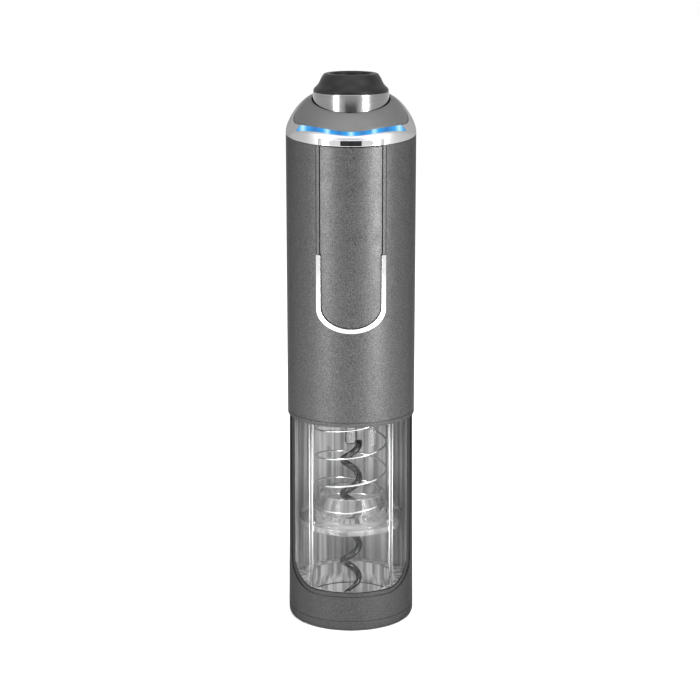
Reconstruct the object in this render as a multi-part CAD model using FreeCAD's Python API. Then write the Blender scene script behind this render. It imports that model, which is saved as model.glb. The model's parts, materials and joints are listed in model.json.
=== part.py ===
"""Electric wine opener, built piece by piece in millimetres.

The opener stands on its foot at the origin, +Z up, with its front towards -Y.
Every piece is made by its own function and written to its own STEP file.
"""
import FreeCAD, Part
import math
import os

from FreeCAD import Vector

os.makedirs("parts", exist_ok=True)

# ---- driving dimensions ------------------------------------------------------
BODY_R = 29.1            # outer radius of the upper casing
WALL = 1.7               # wall of both casings
FOOT_TOP = 4.9           # seam between the foot ring and the lower casing
LEDGE_TOP = 16.0         # top of the ring that carries the clear tube
SLEEVE_TOP_R = 28.35     # the lower casing narrows slightly upwards
SPLIT_Z = 97.0           # where the upper casing starts
MOUTH_R = 21.5           # hole in the foot for the bottle
FUNNEL_R = 20.5          # narrowest place of the funnel above it
FOOT_FILLET = 1.6
REACH = 40.0             # cutting tools reach this far past the axis
SEAM_Z = 225.6           # top of the upper casing, on the axis
SEAM_SLOPE = 0.093       # the seam rises towards the back
SEAM_GAP = 0.2           # shadow line between neighbouring outer pieces
COLLAR_TOP = 243.9       # rim of the steel collar
TOTAL_HEIGHT = 252.0     # rim of the vacuum nozzle

# Crown of the head: a slanted surface that falls off towards its rim.
CROWN_Z = 240.3
CROWN_SLOPE = 0.27
CROWN_R = 25.4
CROWN_SIDE_DROP = 8.4
CROWN_END_DROP = 3.9
CROWN_SIDE_POWER = 3.3
CROWN_END_POWER = 3.9

# Worm and the moving guide round it.
WORM_WIRE_R = 1.55
WORM_R = 3.8             # radius of the worm's centre line
WORM_PITCH = 16.5
WORM_TIP_Z = 8.0
CHUCK_BOTTOM = 81.0
CHUCK_R = 3.9            # to the corners of its eight facets
GUIDE_BOTTOM = 44.1
GUIDE_TOP = 58.2
GUIDE_R = 24.1
SPRING_R = 16.3
SPRING_WIRE_R = 0.45
SPRING_BOTTOM = 51.6
SPRING_PITCH = 13.15
TUBE_R = 25.7
TUBE_WALL = 1.2
RIB_ANGLES = (50.0, 130.0, 230.0, 310.0)

# Window of the lower casing: straight sides, a flat sill and two round corners.
WINDOW_HALF = 25.6
WINDOW_SILL = 18.4
WINDOW_FLAT = 17.0       # half width of the flat sill
WINDOW_BEND = 29.0       # height where the corners end
WINDOW_CORNER = (24.0, 21.6)
RECESS_MARGIN = 2.0
RECESS_DEPTH = 0.35

# Front paddle and its chrome trim.
PADDLE_HALF = 13.5
PADDLE_LOW_HALF = 13.05
TRIM_HALF = 15.44
TRIM_BOTTOM = 140.2
TRIM_TOP = 174.9
TRIM_BEND = 10.3
TRIM_WIDTH = 1.95
PADDLE_R = 27.0          # inner radius of the paddle's shell
HINGE_Y = -21.4
HINGE_Z = 214.0
PIN_R = 1.0

# Lit strip and clip at the front of the head; angles in degrees from the front.
SLOT_HALF_ANGLE = 60.0
STRIP_WIDTH = 1.75
STRIP_MIDDLE_HALF = 18.4
STRIP_SIDE_HALF = 20.0
STRIP_SIDE_CENTRE = 39.4
CAP_HALF_ANGLE = 28.6
CAP_DEPTH = 1.1

# Planetary gears.
MODULE = 0.7
SUN_TEETH = 12
PLANET_TEETH = 18
RING_TEETH = 48
PRESSURE_ANGLE = math.radians(20.0)
ADDENDUM = 0.85          # in modules
DEDENDUM = 1.25          # in modules
BACKLASH = 0.14
GEAR_FACE = 6.0
ORBIT_R = MODULE * (SUN_TEETH + PLANET_TEETH) / 2
PLANET_ANGLES = (0.0, 120.0, 240.0)
GEAR_PIN_R = 1.5
RUNNING_FIT = 0.06

# Levels of the drive, from the cork chamber upwards.
CEILING_TOP = SPLIT_Z + 4.4
HOUSING_FLOOR = CEILING_TOP + 2.0
CARRIER_2_Z = HOUSING_FLOOR + 0.6
CARRIER_2_T = 3.0
GEAR_2_Z = CARRIER_2_Z + CARRIER_2_T + 0.6
CARRIER_1_Z = GEAR_2_Z + GEAR_FACE + 1.8
CARRIER_1_T = 2.6
GEAR_1_Z = CARRIER_1_Z + CARRIER_1_T + 0.6
HOUSING_TOP = GEAR_1_Z + GEAR_FACE + 2.0
HOUSING_R = 20.5
COVER_TOP = HOUSING_TOP + 2.5
MOTOR_R = 12.2
MOTOR_TOP = COVER_TOP + 31.0
CELL_R = 7.0
CELL_LENGTH = 50.0
CELL_ORBIT = 20.1
CELL_ANGLES = (100.0, 155.0, 205.0, 260.0)
CELL_Z = COVER_TOP + 0.4
DECK_Z = CELL_Z + CELL_LENGTH + 0.4
DECK_TOP = DECK_Z + 2.4
POST_PLACES = ((-17.5, -17.5), (17.5, -17.5))
PUMP_MOTOR_R = 10.0
PUMP_HEAD_Z = DECK_TOP + 20.0
PUMP_HEAD_TOP = PUMP_HEAD_Z + 10.0
SOCKET_Z = CEILING_TOP + 10.5

# Nozzle and its plunger.
SEAT_FLANGE_Z = 221.5
SEAT_R = 15.6
SEAT_TOP = COLLAR_TOP - 0.4
COLLAR_R = 16.95
NOZZLE_HOLE_R = 9.28
PLUNGER_R = 8.7
PLUNGER_TOP = 243.9
PLUNGER_DISC = 2.2
PLUNGER_STEM_R = 2.5
PLUNGER_FLOOR = 228.0
BELLOWS_WIDE = 6.6
BELLOWS_NARROW = 5.3

X_AXIS = Vector(1, 0, 0)
Y_AXIS = Vector(0, 1, 0)
Z_AXIS = Vector(0, 0, 1)
ORIGIN = Vector(0, 0, 0)


# ---- helpers -----------------------------------------------------------------
def disc(radius, bottom, top, x=0.0, y=0.0):
    """A vertical cylinder between two heights."""
    return Part.makeCylinder(radius, top - bottom, Vector(x, y, bottom))


def ring(outer, inner, bottom, top, x=0.0, y=0.0):
    """A vertical tube between two heights."""
    return disc(outer, bottom, top, x, y).cut(disc(inner, bottom - 1, top + 1, x, y))


def box(x0, x1, y0, y1, z0, z1):
    """A box given by its limits."""
    return Part.makeBox(x1 - x0, y1 - y0, z1 - z0, Vector(x0, y0, z0))


def turned(profile):
    """A solid of revolution about Z from (radius, height) corners."""
    points = [Vector(radius, 0, height) for radius, height in profile]
    face = Part.Face(Part.makePolygon(points + points[:1]))
    return face.revolve(ORIGIN, Z_AXIS, 360)


def polar(radius, degrees_from_front):
    """The place at an angle measured from the front, seen from above."""
    angle = math.radians(degrees_from_front - 90.0)
    return radius * math.cos(angle), radius * math.sin(angle)


def sector(half_angle, radius, bottom, top, centre=0.0):
    """A wedge round the axis, centred at an angle measured from the front."""
    points = [Vector(0, 0, bottom)]
    steps = 6
    for step in range(steps + 1):
        angle = centre - half_angle + 2 * half_angle * step / steps
        x, y = polar(radius / math.cos(math.radians(half_angle / steps)), angle)
        points.append(Vector(x, y, bottom))
    face = Part.Face(Part.makePolygon(points + points[:1]))
    return face.extrude(Vector(0, 0, top - bottom))


def crown_height(x, y):
    """Height of the head's outer surface."""
    side = CROWN_SIDE_DROP * (abs(x) / CROWN_R) ** CROWN_SIDE_POWER
    end = CROWN_END_DROP * (abs(y) / CROWN_R) ** CROWN_END_POWER
    return CROWN_Z + CROWN_SLOPE * y - side - end


def crown_slab(thickness, lift=0.0):
    """The space under the crown surface, down to a given vertical depth."""
    reach = 32.0
    count = 17
    ticks = [reach * (2 * index / (count - 1) - 1) for index in range(count)]
    grid = [[Vector(x, y, crown_height(x, y) + lift) for y in ticks] for x in ticks]
    surface = Part.BSplineSurface()
    surface.interpolate(grid)
    return surface.toShape().extrude(Vector(0, 0, -thickness))


def below_seam(drop):
    """Everything below the slanted seam plane, lowered by a given drop."""
    reach = 60.0
    depth = 180.0
    half = Part.makeBox(2 * reach, 2 * reach, depth, Vector(-reach, -reach, -depth))
    half.rotate(ORIGIN, X_AXIS, math.degrees(math.atan(SEAM_SLOPE)))
    half.translate(Vector(0, 0, SEAM_Z - drop))
    return half


def front_prism(half_width, bottom, top, bend):
    """A prism along Y with an elliptical lower end, used to cut or keep the front."""
    start = bottom + bend
    outline = [Part.LineSegment(Vector(half_width, 0, start), Vector(half_width, 0, top)).toShape(),
               Part.LineSegment(Vector(half_width, 0, top), Vector(-half_width, 0, top)).toShape(),
               Part.LineSegment(Vector(-half_width, 0, top), Vector(-half_width, 0, start)).toShape()]
    ellipse = Part.Ellipse(Vector(0, 0, start), half_width, bend)
    ellipse.Axis = Vector(0, -1, 0)
    ellipse.XAxis = X_AXIS
    lower = Part.ArcOfEllipse(ellipse, 0, math.pi).toShape()
    middle = lower.valueAt((lower.FirstParameter + lower.LastParameter) / 2)
    if middle.z > start:
        lower = Part.ArcOfEllipse(ellipse, math.pi, 2 * math.pi).toShape()
    outline.append(lower)
    wire = Part.Wire(Part.__sortEdges__(outline))
    face = Part.Face(wire)
    face.translate(Vector(0, -REACH, 0))
    return face.extrude(Vector(0, REACH, 0))


def wire_section(radius, wire_radius, pitch, turn=0.0):
    """A circle square to a helix, after a turn in degrees along it."""
    angle = math.radians(turn)
    centre = Vector(radius * math.cos(angle), radius * math.sin(angle), pitch * turn / 360.0)
    tangent = Vector(-2 * math.pi * centre.y, 2 * math.pi * centre.x, pitch)
    return Part.Wire([Part.makeCircle(wire_radius, centre, tangent)])


def coil(radius, wire_radius, bottom, top, pitch):
    """A round wire wound in a helix between two heights."""
    helix = Part.makeHelix(pitch, top - bottom, radius)
    section = wire_section(radius, wire_radius, pitch)
    spring = Part.Wire(helix).makePipeShell([section], True, True)
    spring.translate(Vector(0, 0, bottom))
    return spring


def group(solids):
    """Several separate solids in one node."""
    return Part.makeCompound(solids)


def involute(angle):
    """The involute function of a pressure angle."""
    return math.tan(angle) - angle


def gear_face(teeth, root_r, tip_r, slack):
    """A gear outline: a polygon with a few points on each involute flank."""
    pitch_r = MODULE * teeth / 2
    base_r = pitch_r * math.cos(PRESSURE_ANGLE)
    at_pitch = math.pi / (2 * teeth) - slack / (2 * pitch_r) + involute(PRESSURE_ANGLE)
    points = []
    steps = 5
    radii = [root_r + (tip_r - root_r) * step / steps for step in range(steps + 1)]

    def half_angle(radius):
        if radius <= base_r:
            return at_pitch
        return at_pitch - involute(math.acos(base_r / radius))

    for tooth in range(teeth):
        centre = 2 * math.pi * tooth / teeth
        flank = [(radius, centre - half_angle(radius)) for radius in radii]
        flank += [(radius, centre + half_angle(radius)) for radius in reversed(radii)]
        points += [Vector(radius * math.cos(a), radius * math.sin(a), 0) for radius, a in flank]
    return Part.Face(Part.makePolygon(points + points[:1]))


def outside_gear(teeth, bottom, height):
    """A toothed wheel on the axis, with a tooth at +X."""
    pitch_r = MODULE * teeth / 2
    face = gear_face(teeth, pitch_r - DEDENDUM * MODULE, pitch_r + ADDENDUM * MODULE, BACKLASH)
    wheel = face.extrude(Vector(0, 0, height))
    wheel.translate(Vector(0, 0, bottom))
    return wheel


def screw(x, y, head_z, length, radius, head_radius):
    """A pan-head screw that points down, its head on top of head_z."""
    head = disc(head_radius, head_z, head_z + 1.2, x, y)
    head = head.cut(box(x - head_radius, x + head_radius, y - 0.25, y + 0.25, head_z + 0.6, head_z + 2))
    return head.fuse(disc(radius, head_z - length, head_z, x, y))


# ---- lower casing ------------------------------------------------------------
def foot_ring():
    """Lowest ring, with a rounded outer edge and a wide mouth for the bottle."""
    shape = ring(BODY_R, MOUTH_R, 0, FOOT_TOP - 0.15)
    edges = [e for e in shape.Edges if e.BoundBox.ZMax < 0.01 and e.BoundBox.XMax > BODY_R - 1]
    return shape.makeFillet(FOOT_FILLET, edges)


def neck_collar():
    """Funnel in the foot that admits the bottle neck and carries the tube."""
    return turned([(MOUTH_R + 0.5, FOOT_TOP), (27.1, FOOT_TOP), (27.1, LEDGE_TOP - 0.2),
                   (FUNNEL_R, LEDGE_TOP - 0.2), (FUNNEL_R, 11.0)])


def window_prism(margin):
    """Front window outline, grown by a margin, as a prism along Y."""
    half = WINDOW_HALF + margin
    low = WINDOW_SILL - margin
    flat = WINDOW_FLAT
    bend = WINDOW_BEND
    top = SPLIT_Z + 5
    across = WINDOW_CORNER[0] + margin
    height = WINDOW_CORNER[1] - margin
    left = Part.Arc(Vector(-half, 0, bend), Vector(-across, 0, height), Vector(-flat, 0, low))
    right = Part.Arc(Vector(flat, 0, low), Vector(across, 0, height), Vector(half, 0, bend))
    edges = [left.toShape(),
             Part.LineSegment(Vector(-flat, 0, low), Vector(flat, 0, low)).toShape(),
             right.toShape(),
             Part.LineSegment(Vector(half, 0, bend), Vector(half, 0, top)).toShape(),
             Part.LineSegment(Vector(half, 0, top), Vector(-half, 0, top)).toShape(),
             Part.LineSegment(Vector(-half, 0, top), Vector(-half, 0, bend)).toShape()]
    face = Part.Face(Part.Wire(Part.__sortEdges__(edges)))
    face.translate(Vector(0, -REACH, 0))
    return face.extrude(Vector(0, REACH - 2, 0))


def window_sleeve():
    """Opaque lower casing with a wide window at the front."""
    height = SPLIT_Z - FOOT_TOP
    at_foot = Vector(0, 0, FOOT_TOP)
    outer = Part.makeCone(BODY_R, SLEEVE_TOP_R, height, at_foot)
    inner = Part.makeCone(BODY_R - WALL, SLEEVE_TOP_R - WALL, height, at_foot)
    shape = outer.cut(inner)
    core = Part.makeCone(BODY_R - RECESS_DEPTH, SLEEVE_TOP_R - RECESS_DEPTH, height, at_foot)
    recess = window_prism(RECESS_MARGIN).common(outer.cut(core))
    return shape.cut(recess).cut(window_prism(0))


def clear_tube():
    """Transparent tube with four inner rails for the guide."""
    shape = ring(TUBE_R, TUBE_R - TUBE_WALL, LEDGE_TOP, SPLIT_Z - 0.4)
    for angle in RIB_ANGLES:
        x, y = polar(TUBE_R - TUBE_WALL - 0.3, angle)
        rail = box(-0.8, 0.8, -0.9, 0.9, LEDGE_TOP, SPLIT_Z - 0.4)
        rail.rotate(ORIGIN, Z_AXIS, angle)
        rail.translate(Vector(x, y, 0))
        shape = shape.fuse(rail)
    return shape.removeSplitter()


# ---- upper casing and head ---------------------------------------------------
def body_shell():
    """Upper casing with the opening for the paddle and its trim."""
    shape = ring(BODY_R, BODY_R - WALL, SPLIT_Z, SEAM_Z + 10)
    low_edge = [e for e in shape.Edges if e.BoundBox.ZMax < SPLIT_Z + 0.01]
    shape = shape.makeChamfer(0.5, low_edge[:1])
    shape = shape.common(below_seam(SEAM_GAP))
    shape = shape.cut(ring(BODY_R + 1, BODY_R - 0.25, SPLIT_Z + 1.9, SPLIT_Z + 2.3))
    shape = shape.cut(front_prism(TRIM_HALF + 0.1, TRIM_BOTTOM - 0.1, TRIM_TOP + 0.1, TRIM_BEND))
    slot = box(-PADDLE_HALF - 0.45, PADDLE_HALF + 0.45, -40, 0, TRIM_TOP, 300)
    shape = shape.cut(slot)
    skin = ring(BODY_R + 1, BODY_R - 0.3, TRIM_TOP, 300)
    for side in (-1, 1):
        groove = box(-0.2, 0.2, -40, 0, TRIM_TOP, 300)
        groove.translate(Vector(side * (TRIM_HALF - 0.1), 0, 0))
        shape = shape.cut(groove.common(skin))
    return shape.cut(socket_hole())


def socket_hole():
    """Round hole at the back for the charging socket."""
    return Part.makeCylinder(3.2, 10, Vector(0, 22, SOCKET_Z), Y_AXIS)


def paddle_trim():
    """Chrome U round the lower end of the paddle."""
    shell = ring(BODY_R + 0.25, PADDLE_R, TRIM_BOTTOM - 5, TRIM_TOP)
    outer = front_prism(TRIM_HALF, TRIM_BOTTOM, TRIM_TOP, TRIM_BEND)
    hole = front_prism(TRIM_HALF - TRIM_WIDTH, TRIM_BOTTOM + TRIM_WIDTH, TRIM_TOP + 5,
                       TRIM_BEND - TRIM_WIDTH / 2)
    return shell.common(outer).cut(hole)


def front_paddle():
    """Long pressed panel, hinged near its top end on two lugs."""
    shell = ring(BODY_R, PADDLE_R, TRIM_BOTTOM, SEAM_Z)
    low = front_prism(PADDLE_LOW_HALF, TRIM_BOTTOM + TRIM_WIDTH + 0.45, TRIM_TOP + 1, TRIM_BEND - 1)
    high = box(-PADDLE_HALF, PADDLE_HALF, -40, 0, TRIM_TOP + 0.6, 300)
    shape = shell.common(low.fuse(high)).common(below_seam(SEAM_GAP + 0.25))
    for side in (-1, 1):
        lug = box(-1.25, 1.25, -27.6, HINGE_Y, HINGE_Z - 2.2, HINGE_Z + 2.2)
        lug = lug.fuse(Part.makeCylinder(2.2, 2.5, Vector(-1.25, HINGE_Y, HINGE_Z), X_AXIS))
        lug.translate(Vector(side * 9.0, 0, 0))
        shape = shape.fuse(lug)
    hole = Part.makeCylinder(PIN_R + RUNNING_FIT, 40, Vector(-20, HINGE_Y, HINGE_Z), X_AXIS)
    return shape.cut(hole).removeSplitter()


def paddle_pin():
    """Steel pin that the paddle turns on."""
    return Part.makeCylinder(PIN_R, 25.0, Vector(-12.5, HINGE_Y, HINGE_Z), X_AXIS)


def paddle_spring():
    """Torsion spring wound round the pin."""
    wire_r = 0.3
    spring = coil(1.7, wire_r, 0, 9.0, 0.9)
    spring.rotate(ORIGIN, Y_AXIS, 90)
    spring.translate(Vector(-4.5, HINGE_Y, HINGE_Z))
    return spring


def trim_bezel():
    """Satin ring round the head, with the light slot and the clip recess at the front."""
    band = crown_slab(60.0).common(ring(BODY_R, CROWN_R + 0.1, 200, 260))
    band = band.cut(below_seam(0))
    skirt = ring(BODY_R - WALL - 0.1, CROWN_R, 216.5, 228.0)
    skirt = skirt.cut(sector(34.0, 40.0, 210, 300))
    shape = band.fuse(skirt.common(below_seam(-0.5)))
    slot = ring(CROWN_R + STRIP_WIDTH, CROWN_R - 1, 223.5, 260)
    slot = slot.common(sector(SLOT_HALF_ANGLE, 32.0, 220, 260))
    recess = ring(BODY_R + 1, BODY_R - CAP_DEPTH - 0.1, 210, SEAM_Z + 0.2)
    recess = recess.common(sector(CAP_HALF_ANGLE + 0.4, REACH, 210, 240))
    return shape.cut(slot).cut(recess)


def front_cap():
    """Glossy clip in the bezel, just above the paddle."""
    shape = ring(BODY_R + 0.1, BODY_R - CAP_DEPTH, 210, SEAM_Z + 0.1)
    return shape.common(sector(CAP_HALF_ANGLE, REACH, 210, 240)).cut(below_seam(0))


def top_plate():
    """Convex plate that closes the head round the collar."""
    plate = crown_slab(2.2).common(disc(CROWN_R - 0.1, 210, 260))
    return plate.cut(disc(COLLAR_R + 0.25, 200, 260))


def led_light_guide():
    """Three lit segments in the bezel's slot."""
    band = crown_slab(3.0, -0.15).common(ring(CROWN_R + STRIP_WIDTH - 0.1, CROWN_R + 0.05, 200, 260))
    pieces = [band.common(sector(STRIP_MIDDLE_HALF, 32.0, 200, 260))]
    for side in (-1, 1):
        pieces.append(band.common(sector(STRIP_SIDE_HALF, 32.0, 200, 260, side * STRIP_SIDE_CENTRE)))
    return group(pieces)


def steel_collar():
    """Brushed collar that rises out of the slanted plate."""
    shape = ring(COLLAR_R, SEAT_R + 0.1, 228.0, COLLAR_TOP)
    rim = [e for e in shape.Edges if e.BoundBox.ZMin > COLLAR_TOP - 0.01]
    return shape.makeChamfer(0.3, rim)


def vacuum_nozzle():
    """Rubber cup with a concave flare and a deep hole."""
    hole = NOZZLE_HOLE_R
    low = COLLAR_TOP + 0.05
    return turned([(hole, low), (16.7, low), (16.5, low + 1.3), (15.1, 246.6), (14.1, 247.9), (13.4, 249.3),
                   (12.8, 250.6), (12.2, 251.5), (11.4, TOTAL_HEIGHT), (hole + 0.4, TOTAL_HEIGHT),
                   (hole, TOTAL_HEIGHT - 0.4)])


def nozzle_seat():
    """Core of the head: holds the collar, the nozzle and the plunger."""
    shape = disc(24.9, SEAT_FLANGE_Z, SEAT_FLANGE_Z + 2.4).fuse(disc(SEAT_R, SEAT_FLANGE_Z, SEAT_TOP))
    shape = shape.cut(box(-20, 20, -40, -19.5, 200, 230))
    shape = shape.cut(disc(PLUNGER_R + 0.25, PLUNGER_FLOOR, SEAT_TOP + 1))
    shape = shape.cut(disc(PLUNGER_STEM_R + RUNNING_FIT, 200, PLUNGER_FLOOR + 1))
    shape = shape.cut(disc(2.6, 200, 260, 6.0, 0))
    for x, y in head_screw_places():
        shape = shape.cut(disc(1.1, 200, 230, x, y))
    return shape


def nozzle_plunger():
    """Pressed in by a stopper: starts the vacuum pump."""
    top = PLUNGER_TOP
    shape = disc(PLUNGER_R, top - PLUNGER_DISC, top).fuse(disc(PLUNGER_STEM_R, 220.5, top - 1))
    for angle in PLANET_ANGLES:
        x, y = polar(6.0, angle + 90.0)
        shape = shape.cut(disc(0.8, 230, top + 1, x, y))
    return shape


def plunger_spring():
    """Corrugated rubber sleeve that pushes the plunger back."""
    folds = 5
    wall = 0.9
    low = PLUNGER_FLOOR + 0.4
    step = (PLUNGER_TOP - PLUNGER_DISC - 0.4 - low) / (2 * folds)
    radii = [BELLOWS_WIDE if number % 2 else BELLOWS_NARROW for number in range(2 * folds + 1)]
    outer = [(radius, low + number * step) for number, radius in enumerate(radii)]
    return turned(outer + [(radius - wall, height) for radius, height in reversed(outer)])


# ---- guide and worm ----------------------------------------------------------
def bottle_guide():
    """Clear cup that centres the bottle neck and slides up the tube."""
    shape = turned([(16.0, GUIDE_BOTTOM), (17.2, GUIDE_BOTTOM), (17.2, 46.6), (23.0, 46.6), (23.0, GUIDE_BOTTOM),
                    (GUIDE_R, GUIDE_BOTTOM), (GUIDE_R, 47.9), (23.7, 48.3), (17.6, 50.7), (15.5, 51.0),
                    (14.6, GUIDE_TOP), (13.3, GUIDE_TOP), (13.7, 49.2), (16.0, 49.0)])
    for angle in RIB_ANGLES:
        x, y = polar(TUBE_R - TUBE_WALL - 0.3, angle)
        notch = box(-1.4, 1.4, -1.3, 1.3, GUIDE_BOTTOM - 1, GUIDE_TOP)
        notch.rotate(ORIGIN, Z_AXIS, angle)
        notch.translate(Vector(x, y, 0))
        shape = shape.cut(notch)
    return shape


def guide_spring():
    """Light spring that pushes the guide down."""
    spring = coil(SPRING_R, SPRING_WIRE_R, SPRING_BOTTOM, SPLIT_Z - 0.6, SPRING_PITCH)
    spring.rotate(ORIGIN, Z_AXIS, -115.0)
    return spring


def worm():
    """Right-handed open helix with a pointed tip and a straight shank."""
    tip_turn = 216.0
    tip_rise = WORM_PITCH * tip_turn / 360.0
    thin = 0.3
    steps = 9
    sections = []
    for step in range(steps + 1):
        wire_r = thin + (WORM_WIRE_R - thin) * math.sin(step / steps * math.pi / 2)
        sections.append(wire_section(WORM_R, wire_r, WORM_PITCH, tip_turn * step / steps))
    tip = Part.makeLoft(sections, True, False)
    tip.rotate(ORIGIN, Z_AXIS, -tip_turn)
    tip.translate(Vector(0, 0, WORM_TIP_Z))
    start = WORM_TIP_Z + tip_rise
    top = CHUCK_BOTTOM + 1.0
    body = coil(WORM_R, WORM_WIRE_R, start, top, WORM_PITCH)
    end_turn = 360.0 * (top - start) / WORM_PITCH
    knuckle = Part.makeSphere(WORM_WIRE_R + 0.02, Vector(WORM_R, 0, top))
    arm = Part.makeCylinder(WORM_WIRE_R - 0.1, WORM_R, Vector(0, 0, top), X_AXIS)
    shank = disc(2.0, top - 1.2, SPLIT_Z + 3)
    holder = shank.fuse(arm).fuse(knuckle)
    holder.rotate(ORIGIN, Z_AXIS, end_turn)
    return holder.fuse(body).fuse(tip)


def worm_chuck():
    """Faceted sleeve that grips the worm's shank and turns it."""
    low = CHUCK_BOTTOM + 2.75
    facets = 8
    corners = [polar(CHUCK_R, 90.0 + 360.0 * number / facets) for number in range(facets + 1)]
    points = [Vector(x, y, low) for x, y in corners]
    shape = Part.Face(Part.makePolygon(points)).extrude(Vector(0, 0, SPLIT_Z + 3 - low))
    return shape.cut(disc(2.0, 80, 120))


# ---- drive -------------------------------------------------------------------
def chamber_ceiling():
    """Plate that closes the cork chamber and carries the gear housing."""
    plate = disc(27.2, SPLIT_Z + 0.2, CEILING_TOP).cut(disc(5.6, 90, 110))
    for x, y in housing_screw_places():
        plate = plate.cut(disc(1.3, 90, 120, x, y))
    return plate


def output_bush():
    """Plain bearing of the output shaft."""
    flange = disc(7.0, CEILING_TOP, CEILING_TOP + 0.8)
    sleeve = disc(5.5, SPLIT_Z + 0.4, CEILING_TOP)
    return flange.fuse(sleeve).cut(disc(4.2 + RUNNING_FIT, 90, 110))


def gear_housing():
    """Cup with the internal teeth of both planetary stages."""
    shape = disc(HOUSING_R, CEILING_TOP, HOUSING_TOP)
    shape = shape.cut(disc(7.2, 90, 110)).cut(disc(17.8, HOUSING_FLOOR, HOUSING_TOP + 1))
    pitch_r = MODULE * RING_TEETH / 2
    cutter = gear_face(RING_TEETH, pitch_r - ADDENDUM * MODULE, pitch_r + DEDENDUM * MODULE, -BACKLASH)
    cutter = cutter.extrude(Vector(0, 0, HOUSING_TOP - GEAR_2_Z + 1))
    cutter.rotate(ORIGIN, Z_AXIS, 180.0 / RING_TEETH)
    cutter.translate(Vector(0, 0, GEAR_2_Z - 0.4))
    teeth = ring(18.2, 10.0, GEAR_2_Z - 0.4, HOUSING_TOP).cut(cutter)
    shape = shape.fuse(teeth)
    for x, y in housing_screw_places():
        ear = disc(3.0, CEILING_TOP, CEILING_TOP + 4, x, y).cut(disc(1.3, 90, 120, x, y))
        shape = shape.fuse(ear.cut(disc(HOUSING_R - 0.5, 90, 120)))
    return shape


def gear_cover():
    """Lid of the gear housing and floor of the battery bay."""
    plate = disc(27.1, HOUSING_TOP, COVER_TOP).cut(disc(4.6, 110, 150))
    for x, y in POST_PLACES:
        plate = plate.cut(disc(1.3, 110, 150, x, y))
    return plate


def carrier_pins(bottom):
    """Three planet pins."""
    places = [polar(ORBIT_R, angle + 90.0) for angle in PLANET_ANGLES]
    return [disc(GEAR_PIN_R, bottom, bottom + GEAR_FACE + 1.2, x, y) for x, y in places]


def output_carrier():
    """Carrier of the second stage, with the hollow output shaft for the chuck."""
    plate = disc(13.6, CARRIER_2_Z, CARRIER_2_Z + CARRIER_2_T)
    shaft = disc(4.2, SPLIT_Z + 3, CARRIER_2_Z)
    return plate.fuse([shaft] + carrier_pins(CARRIER_2_Z + CARRIER_2_T))


def first_carrier():
    """Carrier of the first stage, with the sun gear of the second."""
    plate = disc(13.6, CARRIER_1_Z, CARRIER_1_Z + CARRIER_1_T)
    sun = outside_gear(SUN_TEETH, GEAR_2_Z, CARRIER_1_Z - GEAR_2_Z)
    return plate.fuse([sun] + carrier_pins(CARRIER_1_Z + CARRIER_1_T))


def planet(angle, bottom):
    """One planet wheel, turned so that it meshes with the sun and the ring."""
    wheel = outside_gear(PLANET_TEETH, bottom, GEAR_FACE)
    wheel = wheel.cut(disc(GEAR_PIN_R + RUNNING_FIT, bottom - 1, bottom + GEAR_FACE + 1))
    wheel.rotate(ORIGIN, Z_AXIS, angle + 180.0 / PLANET_TEETH)
    x, y = polar(ORBIT_R, angle + 90.0)
    wheel.translate(Vector(x, y, 0))
    return wheel


def motor_rotor():
    """Armature and shaft, with the sun pinion of the first stage."""
    pinion = outside_gear(SUN_TEETH, GEAR_1_Z, GEAR_FACE + 1.6)
    shaft = disc(1.5, GEAR_1_Z + GEAR_FACE, MOTOR_TOP - 0.5)
    armature = ring(8.6, 1.4, COVER_TOP + 4.0, MOTOR_TOP - 7.5)
    slots = []
    for angle in PLANET_ANGLES:
        slot = box(-0.8, 0.8, 5.0, 10.0, COVER_TOP, MOTOR_TOP)
        slot.rotate(ORIGIN, Z_AXIS, angle)
        slots.append(slot)
    return pinion.fuse([shaft, armature.cut(slots)])


def motor_can():
    """Deep-drawn steel can with its front boss."""
    shape = disc(MOTOR_R, COVER_TOP, MOTOR_TOP - 3.0)
    shape = shape.cut(disc(9.6, COVER_TOP + 1.5, MOTOR_TOP))
    boss = disc(4.5, HOUSING_TOP + 0.4, COVER_TOP)
    return shape.fuse(boss).cut(disc(1.5 + RUNNING_FIT, 100, MOTOR_TOP))


def motor_end_cap():
    """Plastic end cap with two terminals."""
    shape = disc(MOTOR_R - 0.2, MOTOR_TOP - 3.0, MOTOR_TOP)
    shape = shape.cut(disc(1.5 + RUNNING_FIT, 100, 200))
    for side in (-1, 1):
        shape = shape.fuse(box(side * 8 - 1.2, side * 8 + 1.2, -0.4, 0.4, MOTOR_TOP - 0.5, MOTOR_TOP + 4))
    return shape


# ---- electrics ---------------------------------------------------------------
def battery_cell(angle):
    """One rechargeable cell with its raised pole."""
    x, y = polar(CELL_ORBIT, angle)
    can = disc(CELL_R, CELL_Z, CELL_Z + CELL_LENGTH - 1.2, x, y)
    return can.fuse(disc(2.6, CELL_Z + CELL_LENGTH - 1.3, CELL_Z + CELL_LENGTH, x, y))


def battery_contacts():
    """Plated strips that join neighbouring cells, above and below."""
    strips = []
    for first, second, height in ((0, 1, DECK_Z - 0.35), (2, 3, DECK_Z - 0.35), (1, 2, COVER_TOP + 0.05)):
        ends = [Vector(*polar(CELL_ORBIT, CELL_ANGLES[index]), height) for index in (first, second)]
        length = (ends[1] - ends[0]).Length
        strip = box(-2.0, length + 2.0, -2.5, 2.5, 0, 0.3)
        turn = math.degrees(math.atan2(ends[1].y - ends[0].y, ends[1].x - ends[0].x))
        strip.rotate(ORIGIN, Z_AXIS, turn)
        strip.translate(ends[0])
        strips.append(strip)
    return group(strips)


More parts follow.
